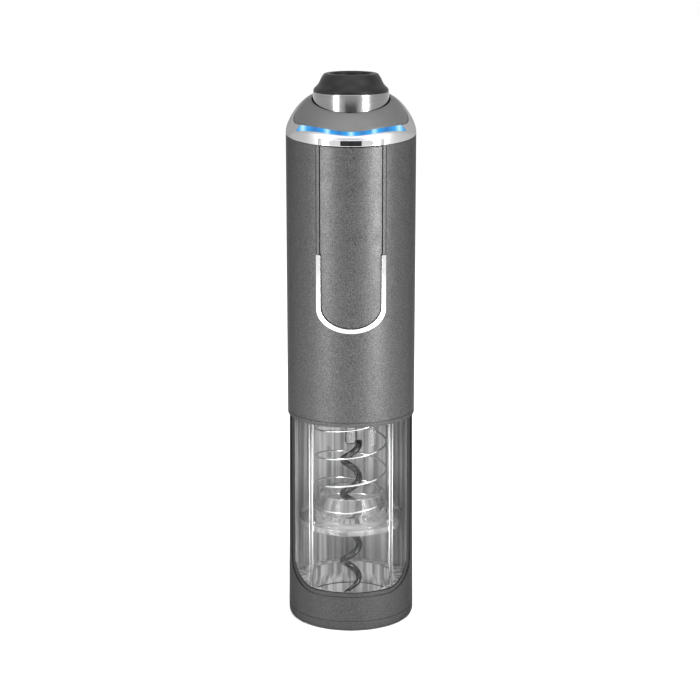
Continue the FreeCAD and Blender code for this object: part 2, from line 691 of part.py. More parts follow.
def upper_deck():
    """Plate above the cells, on two posts that hold the circuit board."""
    shape = disc(27.0, DECK_Z, DECK_TOP).cut(box(-30, 30, -40, -19.0, 150, 220))
    for x, y in POST_PLACES:
        post = disc(2.6, COVER_TOP, DECK_TOP, x, y).cut(disc(1.0, COVER_TOP - 1, COVER_TOP + 12, x, y))
        arm = box(min(x, 0.5 * x), max(x, 0.5 * x), -19.0, -16.0, DECK_Z, DECK_TOP)
        shape = shape.fuse([post, arm])
    tower = box(-16.0, 16.0, -19.0, -16.5, DECK_TOP, SEAT_FLANGE_Z - 0.3)
    tower = tower.cut(box(-11.0, 11.0, -30, 0, DECK_TOP + 3, SEAT_FLANGE_Z - 12))
    shape = shape.fuse(tower)
    for side in (-1, 1):
        bracket = box(side * 11.6 - 0.9, side * 11.6 + 0.9, -23.2, -18.0, HINGE_Z - 2.0, HINGE_Z + 2.0)
        shape = shape.fuse(bracket)
    return shape.cut(Part.makeCylinder(PIN_R, 40, Vector(-20, HINGE_Y, HINGE_Z), X_AXIS))


def main_board():
    """Circuit board behind the paddle."""
    return box(-11.0, 11.0, -21.2, -19.6, COVER_TOP + 4, HINGE_Z - 8)


def function_switches():
    """Two small switches that the paddle presses."""
    switches = []
    for height in (150.0, 164.0):
        case = box(-3.0, 3.0, -24.2, -21.2, height - 3, height + 3)
        switches.append(case.fuse(Part.makeCylinder(1.2, 0.7, Vector(0, -24.9, height), Y_AXIS)))
    return group(switches)


def status_leds():
    """Three lamps under the light guide."""
    lamps = []
    for angle in (-39.0, 0.0, 39.0):
        x, y = polar(CROWN_R + 0.8, angle)
        lamps.append(disc(0.75, 224.0, 224.9, x, y))
    return group(lamps)


def charging_socket():
    """Barrel socket at the back of the casing."""
    centre = SOCKET_Z
    outer = Part.makeCylinder(3.1, 8.0, Vector(0, 21.2, centre), Y_AXIS)
    bore = Part.makeCylinder(2.2, 7.0, Vector(0, 23.0, centre), Y_AXIS)
    pin = Part.makeCylinder(0.6, 5.5, Vector(0, 22.5, centre), Y_AXIS)
    return outer.cut(bore).fuse(pin)


# ---- vacuum pump -------------------------------------------------------------
def pump_motor():
    """Small motor can under the pump head."""
    shape = disc(PUMP_MOTOR_R, DECK_TOP, PUMP_HEAD_Z)
    shape = shape.cut(disc(7.6, DECK_TOP + 1.2, PUMP_HEAD_Z - 1.2))
    return shape.cut(disc(1.0 + RUNNING_FIT, DECK_TOP + 0.6, PUMP_HEAD_Z + 1))


def pump_rotor():
    """Armature, shaft and the eccentric that works the diaphragm."""
    shaft = disc(1.0, DECK_TOP + 0.8, PUMP_HEAD_Z + 6.0)
    armature = disc(6.6, DECK_TOP + 4.0, PUMP_HEAD_Z - 4.0)
    eccentric = disc(3.0, PUMP_HEAD_Z + 2.0, PUMP_HEAD_Z + 6.0, 1.2, 0)
    return shaft.fuse([armature, eccentric])


def pump_head():
    """Diaphragm chamber with its outlet stub."""
    shape = disc(12.5, PUMP_HEAD_Z, PUMP_HEAD_TOP)
    shape = shape.cut(disc(5.0, PUMP_HEAD_Z - 1, PUMP_HEAD_Z + 7))
    stub = disc(1.6, PUMP_HEAD_TOP, PUMP_HEAD_TOP + 1.8, 9.0, 5.0)
    return shape.fuse(stub).cut(disc(0.8, PUMP_HEAD_Z + 8, PUMP_HEAD_TOP + 3, 9.0, 5.0))


def vacuum_switch():
    """Switch under the plunger's stem."""
    low = PUMP_HEAD_TOP
    return box(-3.5, 3.5, -3.0, 3.0, low, 217.6).fuse(disc(0.9, 217.5, 217.9))


def check_valve():
    """Rubber valve in the air way beside the plunger."""
    return ring(2.5, 0.9, SEAT_FLANGE_Z - 2.4, SEAT_FLANGE_Z + 5, 6.0, 0)


# ---- fasteners ---------------------------------------------------------------
def housing_screw_places():
    """Three screws round the gear housing."""
    return [polar(23.2, angle) for angle in (60.0, 180.0, 300.0)]


def head_screw_places():
    """Three screws that hold the nozzle seat."""
    return [polar(20.5, angle) for angle in (90.0, 180.0, 270.0)]


def housing_screws():
    """Screws that pull the gear housing onto the ceiling plate."""
    return group([screw(x, y, CEILING_TOP + 4, 7.0, 1.2, 2.3) for x, y in housing_screw_places()])


def deck_screws():
    """Screws that come up through the cover into the deck's posts."""
    screws = []
    for x, y in POST_PLACES:
        one = disc(2.3, HOUSING_TOP - 1.2, HOUSING_TOP, x, y)
        screws.append(one.fuse(disc(0.95, HOUSING_TOP, COVER_TOP + 10, x, y)))
    return group(screws)


def head_screws():
    """Screws that hold the nozzle seat to the bezel."""
    return group([screw(x, y, SEAT_FLANGE_Z + 2.4, 5.0, 1.0, 2.0) for x, y in head_screw_places()])


# ---- all pieces --------------------------------------------------------------
PIECES = {
    "foot_ring": foot_ring,
    "neck_collar": neck_collar,
    "window_sleeve": window_sleeve,
    "clear_tube": clear_tube,
    "body_shell": body_shell,
    "paddle_trim": paddle_trim,
    "front_paddle": front_paddle,
    "paddle_pin": paddle_pin,
    "paddle_spring": paddle_spring,
    "trim_bezel": trim_bezel,
    "front_cap": front_cap,
    "top_plate": top_plate,
    "led_light_guide": led_light_guide,
    "steel_collar": steel_collar,
    "vacuum_nozzle": vacuum_nozzle,
    "nozzle_seat": nozzle_seat,
    "nozzle_plunger": nozzle_plunger,
    "plunger_spring": plunger_spring,
    "bottle_guide": bottle_guide,
    "guide_spring": guide_spring,
    "worm": worm,
    "worm_chuck": worm_chuck,
    "chamber_ceiling": chamber_ceiling,
    "output_bush": output_bush,
    "gear_housing": gear_housing,
    "gear_cover": gear_cover,
    "output_carrier": output_carrier,
    "first_carrier": first_carrier,
    "motor_rotor": motor_rotor,
    "motor_can": motor_can,
    "motor_end_cap": motor_end_cap,
    "battery_contacts": battery_contacts,
    "upper_deck": upper_deck,
    "main_board": main_board,
    "function_switches": function_switches,
    "status_leds": status_leds,
    "charging_socket": charging_socket,
    "pump_motor": pump_motor,
    "pump_rotor": pump_rotor,
    "pump_head": pump_head,
    "vacuum_switch": vacuum_switch,
    "check_valve": check_valve,
    "housing_screws": housing_screws,
    "deck_screws": deck_screws,
    "head_screws": head_screws,
}

shapes = {name: make() for name, make in PIECES.items()}
for number, angle in enumerate(PLANET_ANGLES, start=1):
    shapes[f"first_planet_{number}"] = planet(angle, GEAR_1_Z)
    shapes[f"second_planet_{number}"] = planet(angle, GEAR_2_Z)
for number, angle in enumerate(CELL_ANGLES, start=1):
    shapes[f"battery_cell_{number}"] = battery_cell(angle)

for name, shape in shapes.items():
    if not shape.isValid():
        print("not valid:", name)
    shape.exportStep(f"parts/{name}.step")
print(len(shapes), "pieces written")
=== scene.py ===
# %% [markdown]
# # An electric wine opener, piece by piece
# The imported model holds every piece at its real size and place. Here the visible pieces are remade
# with rounder edges and finer outlines, and every piece gets its finish. All sizes are in metres, so
# the helper MM turns the millimetres that a maker would say into metres.

# %% Load the frame
import bmesh
import bpy
import json
import math
from mathutils import Matrix, Vector


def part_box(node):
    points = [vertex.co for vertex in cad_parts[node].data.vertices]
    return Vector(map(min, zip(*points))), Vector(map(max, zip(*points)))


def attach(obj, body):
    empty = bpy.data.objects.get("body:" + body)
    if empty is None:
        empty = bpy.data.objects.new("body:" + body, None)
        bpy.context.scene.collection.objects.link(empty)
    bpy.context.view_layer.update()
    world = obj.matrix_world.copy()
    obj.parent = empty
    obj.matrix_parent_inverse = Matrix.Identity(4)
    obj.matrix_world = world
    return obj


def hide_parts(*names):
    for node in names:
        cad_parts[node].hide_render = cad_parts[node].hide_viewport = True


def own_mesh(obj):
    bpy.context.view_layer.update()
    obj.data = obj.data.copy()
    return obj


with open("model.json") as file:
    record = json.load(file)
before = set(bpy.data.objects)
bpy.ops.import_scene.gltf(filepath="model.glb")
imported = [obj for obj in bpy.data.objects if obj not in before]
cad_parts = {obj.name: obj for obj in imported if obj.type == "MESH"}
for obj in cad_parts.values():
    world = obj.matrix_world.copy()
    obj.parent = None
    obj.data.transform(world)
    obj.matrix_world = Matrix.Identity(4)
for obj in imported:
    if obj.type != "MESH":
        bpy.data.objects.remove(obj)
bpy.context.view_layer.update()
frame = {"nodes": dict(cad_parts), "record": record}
MM = 0.001
TURN = 2 * math.pi


# %% [markdown]
# ## Measures taken from the frame
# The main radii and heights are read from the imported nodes, so the new skins fit the pieces they
# stand for. Heights and radii are kept in millimetres because the outlines below are easier to read.

# %% Measures
def low_mm(node, axis=2):
    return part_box(node)[0][axis] / MM


def high_mm(node, axis=2):
    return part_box(node)[1][axis] / MM


BODY_R = high_mm("body_shell", 0)
WALL = 1.7
SPLIT = low_mm("body_shell")
FOOT_TOP = high_mm("foot_ring")
COLLAR_R = high_mm("steel_collar", 0)
COLLAR_TOP = high_mm("steel_collar")
TOP = high_mm("vacuum_nozzle")
TUBE_R = high_mm("clear_tube", 0)
TRIM_BOTTOM = low_mm("paddle_trim")
TRIM_TOP = high_mm("paddle_trim")
TRIM_HALF = high_mm("paddle_trim", 0)
print("casing radius", round(BODY_R, 2), "split at", round(SPLIT, 2), "height", round(TOP, 2))

# %% [markdown]
# ## Turning, carving and softening
# Most casings of this object are turned shapes: an outline in radius and height, spun about the
# upright axis. Openings are carved with a Boolean whose result is applied at once. Every edge of a
# moulded part is slightly round, which catches a thin highlight, so sharp edges are bevelled. A
# casing that ends in a slanted cut is turned higher than it needs to be, up to RAW_TOP, and a tool
# that carves out through the top reaches OVER_TOP.

# %% Helpers for meshes
STEPS = 240
RAW_TOP = 240.0
OVER_TOP = 260
print("a full turn has", STEPS, "steps; casings are turned up to", RAW_TOP, "and then cut")


def turned(outline, steps=STEPS, sweep=TURN, start=0.0):
    """Spins a closed outline of (radius, height) corners about Z; a part turn gets end caps."""
    bm = bmesh.new()
    corners = [bm.verts.new((radius * MM, 0, height * MM)) for radius, height in outline]
    edges = [bm.edges.new(pair) for pair in zip(corners, corners[1:] + corners[:1])]
    whole = abs(sweep - TURN) < 1e-6
    if not whole:
        bm.faces.new(corners)
    bmesh.ops.rotate(bm, verts=corners, cent=(0, 0, 0), matrix=Matrix.Rotation(start, 3, "Z"))
    geometry = edges if whole else list(bm.faces)
    bmesh.ops.spin(bm, geom=geometry, cent=(0, 0, 0), axis=(0, 0, 1), angle=sweep, steps=steps,
                   use_merge=whole)
    bmesh.ops.remove_doubles(bm, verts=list(bm.verts), dist=1e-7)
    bmesh.ops.recalc_face_normals(bm, faces=list(bm.faces))
    return bm


def wall(inner, outer, low, high):
    """The square outline of a plain tube."""
    return [(inner, low), (outer, low), (outer, high), (inner, high)]


def soften(bm, width, segments=3, angle=30.0):
    """Bevels every edge that folds by more than an angle."""
    sharp = [edge for edge in bm.edges
             if len(edge.link_faces) == 2 and edge.calc_face_angle() > math.radians(angle)]
    bmesh.ops.bevel(bm, geom=sharp, offset=width * MM, offset_type="OFFSET", affect="EDGES",
                    segments=segments, profile=0.5, material=-1, clamp_overlap=True)
    return bm


def prism(outline, near=-40.0, far=-12.0):
    """Extrudes an outline of (x, height) corners along Y, as a tool for carving."""
    bm = bmesh.new()
    face = bm.faces.new([bm.verts.new((x * MM, near * MM, height * MM)) for x, height in outline])
    grown = bmesh.ops.extrude_face_region(bm, geom=[face])
    moved = [item for item in grown["geom"] if isinstance(item, bmesh.types.BMVert)]
    bmesh.ops.translate(bm, verts=moved, vec=(0, (far - near) * MM, 0))
    bmesh.ops.triangulate(bm, faces=[f for f in bm.faces if len(f.verts) > 4])
    bmesh.ops.recalc_face_normals(bm, faces=list(bm.faces))
    return bm


def box(low, high):
    """A block between two corners, in millimetres."""
    bm = bmesh.new()
    size = [b - a for a, b in zip(low, high)]
    middle = [(a + b) / 2 for a, b in zip(low, high)]
    scale = Matrix.Diagonal((*[s * MM for s in size], 1.0))
    bmesh.ops.create_cube(bm, size=1.0, matrix=Matrix.Translation([m * MM for m in middle]) @ scale)
    return bm


def turn_mesh(bm, degrees):
    """Turns a whole mesh about the upright axis."""
    turn = Matrix.Rotation(math.radians(degrees), 3, "Z")
    bmesh.ops.rotate(bm, verts=list(bm.verts), cent=(0, 0, 0), matrix=turn)


def join_mesh(whole, part):
    """Adds one mesh to another and frees it."""
    spare = bpy.data.meshes.new("spare")
    part.to_mesh(spare)
    whole.from_mesh(spare)
    part.free()
    bpy.data.meshes.remove(spare)


def as_object(name, bm):
    """Puts a mesh into the scene under a name."""
    mesh = bpy.data.meshes.new(name)
    bm.to_mesh(mesh)
    bm.free()
    made = bpy.data.objects.new(name, mesh)
    bpy.context.scene.collection.objects.link(made)
    return made


def carve(piece, tool_mesh, operation="DIFFERENCE"):
    """Applies one Boolean to a piece and throws the tool away."""
    tool = as_object("tool", tool_mesh)
    modifier = piece.modifiers.new("carve", "BOOLEAN")
    modifier.operation = operation
    modifier.solver = "EXACT"
    modifier.object = tool
    depsgraph = bpy.context.evaluated_depsgraph_get()
    result = bpy.data.meshes.new_from_object(piece.evaluated_get(depsgraph))
    piece.modifiers.clear()
    spare = piece.data
    piece.data = result
    bpy.data.meshes.remove(spare)
    bpy.data.objects.remove(tool)


def round_edges(piece, width, segments=2, angle=35.0):
    """Bevels the sharp edges of a carved piece with a modifier."""
    modifier = piece.modifiers.new("round edges", "BEVEL")
    modifier.width = width * MM
    modifier.segments = segments
    modifier.limit_method = "ANGLE"
    modifier.angle_limit = math.radians(angle)
    modifier.use_clamp_overlap = True
    modifier.harden_normals = True


def finish_piece(piece, material, body, nodes=(), angle=35.0):
    """Smooths a piece, gives it its finish, ties it to its body and hides the nodes it stands for."""
    piece.data.materials.clear()
    piece.data.materials.append(material)
    piece.data.polygons.foreach_set("use_smooth", [True] * len(piece.data.polygons))
    piece.data.set_sharp_from_angle(angle=math.radians(angle))
    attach(piece, body)
    if nodes:
        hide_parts(*nodes)
    print(piece.name, "faces:", len(piece.data.polygons))
    return piece


# %% [markdown]
# ## A kit for the finishes
# Each finish but the thin clear wall is one Principled shader. Numbers that are the same all over
# are set on its sockets, and only what varies over the surface, such as flake, grain or brushing, is
# wired in. Patterns read Object coordinates, which are metres here, so their scales are large.

# %% Helpers for materials
finishes = {}


def principled(name, color, roughness, metallic=0.0, **values):
    """A new material with one Principled shader; extra values name its other sockets."""
    material = bpy.data.materials.new(name)
    material.use_nodes = True
    shader = material.node_tree.nodes["Principled BSDF"]
    shader.inputs["Base Color"].default_value = (*color, 1.0)
    shader.inputs["Roughness"].default_value = roughness
    shader.inputs["Metallic"].default_value = metallic
    for socket, value in values.items():
        shader.inputs[socket.replace("_", " ")].default_value = value
    finishes[name] = material
    return material


def noise(material, scale, detail=2.0, stretch=(1, 1, 1)):
    """A noise pattern on Object coordinates, optionally stretched."""
    tree = material.node_tree
    place = tree.nodes.new("ShaderNodeTexCoord")
    mapping = tree.nodes.new("ShaderNodeMapping")
    mapping.inputs["Scale"].default_value = stretch
    pattern = tree.nodes.new("ShaderNodeTexNoise")
    pattern.inputs["Scale"].default_value = scale
    pattern.inputs["Detail"].default_value = detail
    tree.links.new(place.outputs["Object"], mapping.inputs["Vector"])
    tree.links.new(mapping.outputs["Vector"], pattern.inputs["Vector"])
    return pattern


def vary(material, pattern, socket, low, high, start=0.35, end=0.65):
    """Drives a socket between two values, or two colours, with a pattern."""
    tree = material.node_tree
    shader = tree.nodes["Principled BSDF"]
    if isinstance(low, tuple):
        ramp = tree.nodes.new("ShaderNodeValToRGB")
        ramp.color_ramp.elements[0].position = start
        ramp.color_ramp.elements[1].position = end
        ramp.color_ramp.elements[0].color = (*low, 1.0)
        ramp.color_ramp.elements[1].color = (*high, 1.0)
        tree.links.new(pattern.outputs["Fac"], ramp.inputs["Fac"])
        tree.links.new(ramp.outputs["Color"], shader.inputs[socket])
        return
    span = tree.nodes.new("ShaderNodeMapRange")
    span.inputs["From Min"].default_value = start
    span.inputs["From Max"].default_value = end
    span.inputs["To Min"].default_value = low
    span.inputs["To Max"].default_value = high
    tree.links.new(pattern.outputs["Fac"], span.inputs["Value"])
    tree.links.new(span.outputs["Result"], shader.inputs[socket])


def bump(material, pattern, strength, depth):
    """Small relief from a pattern; depth is in metres."""
    tree = material.node_tree
    relief = tree.nodes.new("ShaderNodeBump")
    relief.inputs["Strength"].default_value = strength
    relief.inputs["Distance"].default_value = depth
    tree.links.new(pattern.outputs["Fac"], relief.inputs["Height"])
    tree.links.new(relief.outputs["Normal"], tree.nodes["Principled BSDF"].inputs["Normal"])


# %% [markdown]
# ## The outer finishes
# The casing is sprayed with a gray metallic paint: fine bright flakes in a dark ground. The flakes
# are a very fine noise in the colour, and a softer noise makes the sheen a little uneven, as real
# paint is. The silver ring is a finer, brighter coat, and the clips are plated and polished. The
# inside of the lower casing gets a lighter lining finish, which is painted light for its shaded
# chamber. A noise stretched along the height varies it in long light and dark streaks.

# %% Paints and metals
def metallic_paint(name, ground, flake, roughness, flake_scale=4000.0, metallic=0.9):
    """A dark ground with fine bright flakes."""
    paint = principled(name, ground, roughness, metallic, Specular_Tint=(0.35, 0.35, 0.35, 1.0))
    flakes = noise(paint, flake_scale, 1.0)
    vary(paint, flakes, "Base Color", ground, flake, 0.38, 0.66)
    vary(paint, noise(paint, 160.0, 3.0), "Roughness", roughness - 0.03, roughness + 0.04)
    bump(paint, flakes, 0.12, 0.00002)
    return paint


body_paint = metallic_paint("body_paint", (0.05, 0.05, 0.05), (0.12, 0.12, 0.12), 0.42, 2800.0)
sleeve_gray = metallic_paint("sleeve_gray", (0.042, 0.042, 0.042), (0.08, 0.08, 0.08), 0.45, 2800.0)
satin_silver = metallic_paint("satin_silver", (0.36, 0.36, 0.365), (0.41, 0.41, 0.415), 0.42)
plate_gray = metallic_paint("plate_gray", (0.08, 0.08, 0.08), (0.105, 0.105, 0.105), 0.5, 4000.0, 0.5)

# Painted light: a lighter finish for the inner faces of the lower casing, which lie in shade.
painted_light_lining = principled("painted_light_lining", (0.5, 0.5, 0.5), 0.4, 0.4)
lining_streaks = noise(painted_light_lining, 420.0, 3.0, (1, 1, 0.012))
vary(painted_light_lining, lining_streaks, "Base Color", (0.3, 0.3, 0.3), (0.85, 0.85, 0.85), 0.38, 0.62)
vary(painted_light_lining, lining_streaks, "Roughness", 0.3, 0.5)

bright_chrome = principled("bright_chrome", (0.66, 0.66, 0.67), 0.05, 1.0)
vary(bright_chrome, noise(bright_chrome, 300.0, 2.0), "Roughness", 0.04, 0.08)
print("outer finishes:", ", ".join(finishes))

# %% [markdown]
# The collar is turned on a lathe, so its brushing runs round it. Stretching a noise flat along the
# height gives fine rings, and they feed both a faint relief and the roughness.

# %% Brushed and turned metals
collar_steel = principled("collar_steel", (0.25, 0.25, 0.25), 0.2, 1.0)
brushing = noise(collar_steel, 60.0, 4.0, (1, 1, 160))
vary(collar_steel, brushing, "Roughness", 0.16, 0.24)
vary(collar_steel, brushing, "Base Color", (0.23, 0.23, 0.228), (0.27, 0.27, 0.268))
bump(collar_steel, brushing, 0.05, 0.00001)


def plain_metal(name, color, roughness):
    """Bare metal whose roughness varies in fine streaks."""
    metal = principled(name, color, roughness, 1.0)
    streaks = noise(metal, 900.0, 3.0, (1, 1, 8))
    vary(metal, streaks, "Roughness", roughness - 0.06, roughness + 0.08)
    return metal


spring_steel = plain_metal("spring_steel", (0.78, 0.78, 0.78), 0.18)
pin_steel = plain_metal("pin_steel", (0.22, 0.22, 0.22), 0.25)
zinc_steel = plain_metal("zinc_steel", (0.6, 0.6, 0.57), 0.35)
motor_steel = plain_metal("motor_steel", (0.5, 0.5, 0.5), 0.32)
bush_brass = plain_metal("bush_brass", (0.7, 0.5, 0.24), 0.35)
copper_strip = plain_metal("copper_strip", (0.66, 0.64, 0.58), 0.3)
worm_steel = principled("worm_steel", (0.015, 0.015, 0.016), 0.16, 0.0, Specular_IOR_Level=0.5)
vary(worm_steel, noise(worm_steel, 700.0, 3.0), "Roughness", 0.1, 0.2)
print("finishes with the metals:", len(finishes))

# %% [markdown]
# Rubber and moulded plastics are dull. Their grain comes from the mould, so a fine noise goes into
# the relief and the roughness.

# %% Rubber and plastics
def moulded(name, color, roughness, grain=3500.0, depth=0.00003, specular=0.5):
    """Rubber or plastic with the fine grain of its mould."""
    plastic = principled(name, color, roughness, Specular_IOR_Level=specular)
    texture = noise(plastic, grain, 2.0)
    vary(plastic, texture, "Roughness", roughness - 0.05, roughness + 0.06)
    lighter = tuple(min(1.0, part * 1.12 + 0.004) for part in color)
    vary(plastic, noise(plastic, 120.0, 2.0), "Base Color", color, lighter)
    bump(plastic, texture, 0.2, depth)
    return plastic


nozzle_rubber = moulded("nozzle_rubber", (0.006, 0.006, 0.0063), 0.42, specular=0.12)
valve_rubber = moulded("valve_rubber", (0.3, 0.06, 0.05), 0.5)
dark_plastic = moulded("dark_plastic", (0.02, 0.02, 0.022), 0.4)
inner_plastic = moulded("inner_plastic", (0.12, 0.12, 0.125), 0.5)
gear_white = moulded("gear_white", (0.75, 0.74, 0.69), 0.4)
cell_wrap = moulded("cell_wrap", (0.03, 0.16, 0.08), 0.25, 900.0, 0.00001)
board_green = moulded("board_green", (0.01, 0.12, 0.04), 0.3, 1500.0, 0.00001)
print("finishes with rubber and plastics:", len(finishes))

# %% [markdown]
# The clear parts are acrylic. Light bends in the rails and the sliding guide, and the guide is
# slightly frosted, so its roughness is higher. The tube's wall is too thin to bend light. A mix of
# a see-through and a mirror shader, weighted by how steeply one looks at it, keeps the wall clear.

# %% Clear parts
clear_plastic = principled("clear_plastic", (0.97, 0.98, 0.98), 0.02, Transmission_Weight=1.0, IOR=1.49)
vary(clear_plastic, noise(clear_plastic, 80.0, 2.0), "Roughness", 0.01, 0.05)


def clear_wall(name):
    """A clear wall so thin that it bends no light: it mirrors a little and lets the rest through."""
    material = bpy.data.materials.new(name)
    material.use_nodes = True
    tree = material.node_tree
    tree.nodes.remove(tree.nodes["Principled BSDF"])
    through = tree.nodes.new("ShaderNodeBsdfTransparent")
    through.inputs["Color"].default_value = (0.965, 0.965, 0.965, 1.0)
    mirror = tree.nodes.new("ShaderNodeBsdfGlossy")
    mirror.inputs["Roughness"].default_value = 0.03
    facing = tree.nodes.new("ShaderNodeLayerWeight")
    steep = tree.nodes.new("ShaderNodeMath")
    steep.operation = "POWER"
    steep.inputs[1].default_value = 5.0
    share = tree.nodes.new("ShaderNodeMath")
    share.operation = "MULTIPLY_ADD"
    share.inputs[1].default_value = 0.6
    share.inputs[2].default_value = 0.012
    mix = tree.nodes.new("ShaderNodeMixShader")
    tree.links.new(facing.outputs["Facing"], steep.inputs[0])
    tree.links.new(steep.outputs[0], share.inputs[0])
    tree.links.new(share.outputs[0], mix.inputs["Fac"])
    tree.links.new(through.outputs["BSDF"], mix.inputs[1])
    tree.links.new(mirror.outputs["BSDF"], mix.inputs[2])
    tree.links.new(mix.outputs["Shader"], tree.nodes["Material Output"].inputs["Surface"])
    return material


tube_wall = clear_wall("tube_wall")
frosted_plastic = principled("frosted_plastic", (0.97, 0.97, 0.97), 0.05, Transmission_Weight=0.95, IOR=1.36)
vary(frosted_plastic, noise(frosted_plastic, 400.0, 2.0), "Roughness", 0.03, 0.08)
print("clear finishes:", clear_plastic.name, tube_wall.name, frosted_plastic.name)

# %% [markdown]
# The blue strip is a light guide with lamps behind it. It glows, palest in front of each lamp, so
# its colour follows the distance to the nearest lamp along the strip.

# %% The lit strip
blue_light = principled("blue_light", (0.0, 0.02, 0.06), 0.3, Specular_IOR_Level=0.2)


def lamp_glow(material, lamps, reach):
    """Emission whose colour is palest near each lamp; places and reach are metres along X."""
    tree = material.node_tree
    place = tree.nodes.new("ShaderNodeTexCoord")
    split = tree.nodes.new("ShaderNodeSeparateXYZ")
    tree.links.new(place.outputs["Object"], split.inputs["Vector"])
    nearest = None
    for lamp in lamps:
        shift = tree.nodes.new("ShaderNodeMath")
        shift.operation = "SUBTRACT"
        shift.inputs[1].default_value = lamp
        tree.links.new(split.outputs["X"], shift.inputs[0])
        size = tree.nodes.new("ShaderNodeMath")
        size.operation = "ABSOLUTE"
        tree.links.new(shift.outputs[0], size.inputs[0])
        if nearest is None:
            nearest = size
            continue
        closer = tree.nodes.new("ShaderNodeMath")
        closer.operation = "MINIMUM"
        tree.links.new(nearest.outputs[0], closer.inputs[0])
        tree.links.new(size.outputs[0], closer.inputs[1])
        nearest = closer
    fade = tree.nodes.new("ShaderNodeMapRange")
    fade.inputs["From Min"].default_value = 0.0
    fade.inputs["From Max"].default_value = reach
    tree.links.new(nearest.outputs[0], fade.inputs["Value"])
    ramp = tree.nodes.new("ShaderNodeValToRGB")
    ramp.color_ramp.elements[0].color = (0.5, 0.9, 1.0, 1.0)
    ramp.color_ramp.elements[1].color = (0.01, 0.1, 0.36, 1.0)
    middle = ramp.color_ramp.elements.new(0.3)
    middle.color = (0.01, 0.33, 0.75, 1.0)
    tree.links.new(fade.outputs["Result"], ramp.inputs["Fac"])
    shader = tree.nodes["Principled BSDF"]
    tree.links.new(ramp.outputs["Color"], shader.inputs["Emission Color"])
    shader.inputs["Emission Strength"].default_value = 0.95


LAMP_PLACES = (-0.0103, 0.0, 0.0101, -0.021, 0.021)
LAMP_REACH = 0.006
lamp_glow(blue_light, LAMP_PLACES, LAMP_REACH)
print("lamps behind the strip:", len(LAMP_PLACES))

# %% [markdown]
# ## The lower casing
# The foot is a turned ring with a round lower edge. The bottle's neck comes in through its mouth.
# The mouth's inside gets the same lighter lining finish as the sleeve's inside: painted light over the shade
# seen at the bottom of the window.

# %% Foot ring
MOUTH_R = 21.5
foot = turned([
    (MOUTH_R, 0.0), (BODY_R - 1.6, 0.0), (BODY_R - 0.5, 0.45), (BODY_R - 0.1, 1.3), (BODY_R, 2.2),
    (BODY_R, FOOT_TOP - 0.25), (BODY_R - 0.25, FOOT_TOP), (MOUTH_R, FOOT_TOP)])
foot = finish_piece(as_object("foot_ring_skin", foot), sleeve_gray, "casing", ["foot_ring"])
# Painted light: the mouth's inner faces get the lighter lining finish.
foot.data.materials.append(painted_light_lining)
for polygon in foot.data.polygons:
    if math.hypot(polygon.center.x, polygon.center.y) < (MOUTH_R + 1) * MM:
        polygon.material_index = 1

# %% [markdown]
# Above the foot stands a slightly tapered sleeve with a wide window: its outline is two straight
# sides, a flat sill and two round corners. A shallow rebate follows the window, and gives the thin
# light line under the sill. The faces that look inwards get the lighter lining finish, which is
# painted light that brightens the shaded inside of the chamber.

# %% Window sleeve
SLEEVE_TOP_R = 28.35
SILL = 18.4
WINDOW_HALF = 25.6
SILL_HALF = 17.0
CORNER_TOP = 29.0


def window_outline(margin):
    """Sill, round corners and straight sides, grown by a margin."""
    outline = []
    for side in (-1, 1):
        across = WINDOW_HALF + margin - SILL_HALF
        rise = CORNER_TOP - SILL + margin
        bends = [(math.cos(step * math.pi / 20), math.sin(step * math.pi / 20)) for step in range(11)]
        corner = [(side * (SILL_HALF + across * c), CORNER_TOP - rise * s) for c, s in bends]
        outline += corner if side < 0 else corner[::-1]
    return outline + [(WINDOW_HALF + margin, SPLIT + 9), (-WINDOW_HALF - margin, SPLIT + 9)]


def sleeve_outline(inner, outer):
    """The tapered wall between two depths under the outer surface."""
    base = low_mm("window_sleeve")
    return [(BODY_R - inner, base), (BODY_R - outer, base), (SLEEVE_TOP_R - outer, SPLIT),
            (SLEEVE_TOP_R - inner, SPLIT)]


sleeve = as_object("window_sleeve_skin", turned(sleeve_outline(WALL, 0.0)))
rebate = as_object("rebate", turned(sleeve_outline(0.35, -1.5)))
carve(rebate, prism(window_outline(2.0), far=-2.0), "INTERSECT")
rebate_mesh = bmesh.new()
rebate_mesh.from_mesh(rebate.data)
bpy.data.objects.remove(rebate)
carve(sleeve, rebate_mesh)
carve(sleeve, prism(window_outline(0.0), far=-2.0))
round_edges(sleeve, 0.26)
finish_piece(sleeve, sleeve_gray, "casing", ["window_sleeve"])

# %% Painted light on the sleeve's inside
sleeve.data.materials.append(painted_light_lining)
for polygon in sleeve.data.polygons:
    outward = polygon.normal.x * polygon.center.x + polygon.normal.y * polygon.center.y
    level = SPLIT * MM > polygon.center.z > FOOT_TOP * MM
    if level and outward < -0.9 * math.hypot(polygon.center.x, polygon.center.y):
        polygon.material_index = 1
print("lined faces:", sum(polygon.material_index for polygon in sleeve.data.polygons))

# %% [markdown]
# ## The clear tube and its rails
# Inside the window stands a clear tube. Four rails run down its inside wall and keep the guide from
# turning. They are separate bars here, so that their edges catch their own thin highlights.

# %% Clear tube
tube_low = low_mm("clear_tube")
tube_high = high_mm("clear_tube")
TUBE_WALL = 1.2
tube = soften(turned(wall(TUBE_R - TUBE_WALL, TUBE_R, tube_low, tube_high)), 0.3)
tube = as_object("clear_tube_skin", tube)
finish_piece(tube, tube_wall, "casing", ["clear_tube"])

